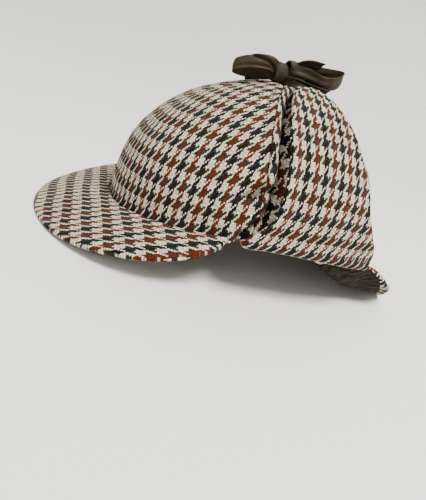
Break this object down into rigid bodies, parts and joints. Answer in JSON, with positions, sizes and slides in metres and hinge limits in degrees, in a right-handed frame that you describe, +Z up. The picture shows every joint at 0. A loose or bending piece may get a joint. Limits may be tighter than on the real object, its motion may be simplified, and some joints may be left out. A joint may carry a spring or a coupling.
{
  "type": "deerstalker hat",
  "caption": "Tweed deerstalker hat with a peak at the front and the back, and ear flaps turned up and tied over the crown with a ribbon bow.",
  "frame": {"origin": "middle of the hat's bounding box in plan, on the level that both peaks rest on", "axes": "+Z up, the wearer faces -Y, +X is the wearer's left"},
  "size_m": [0.19, 0.306, 0.1581],
  "materials": {
    "tweed": "checked woollen twill, slightly hairy",
    "lining": "dark quilted lining cloth",
    "ribbon": "soft satin-faced cotton ribbon"
  },
  "bodies": {
    "root": {"crown_front_left": "tweed", "crown_front_right": "tweed", "crown_side_left": "tweed", "crown_side_right": "tweed", "crown_back_left": "tweed", "crown_back_right": "tweed", "front_peak": "tweed", "rear_peak": "tweed", "ear_flap_left": "tweed", "ear_flap_right": "tweed", "rear_peak_lining": "lining", "bow_loop_front": "ribbon", "bow_loop_rear": "ribbon", "bow_tail_upper": "ribbon", "bow_tail_lower": "ribbon", "ribbon_left": "ribbon", "ribbon_right": "ribbon", "bow_knot": "ribbon"}
  },
  "joints": []
}
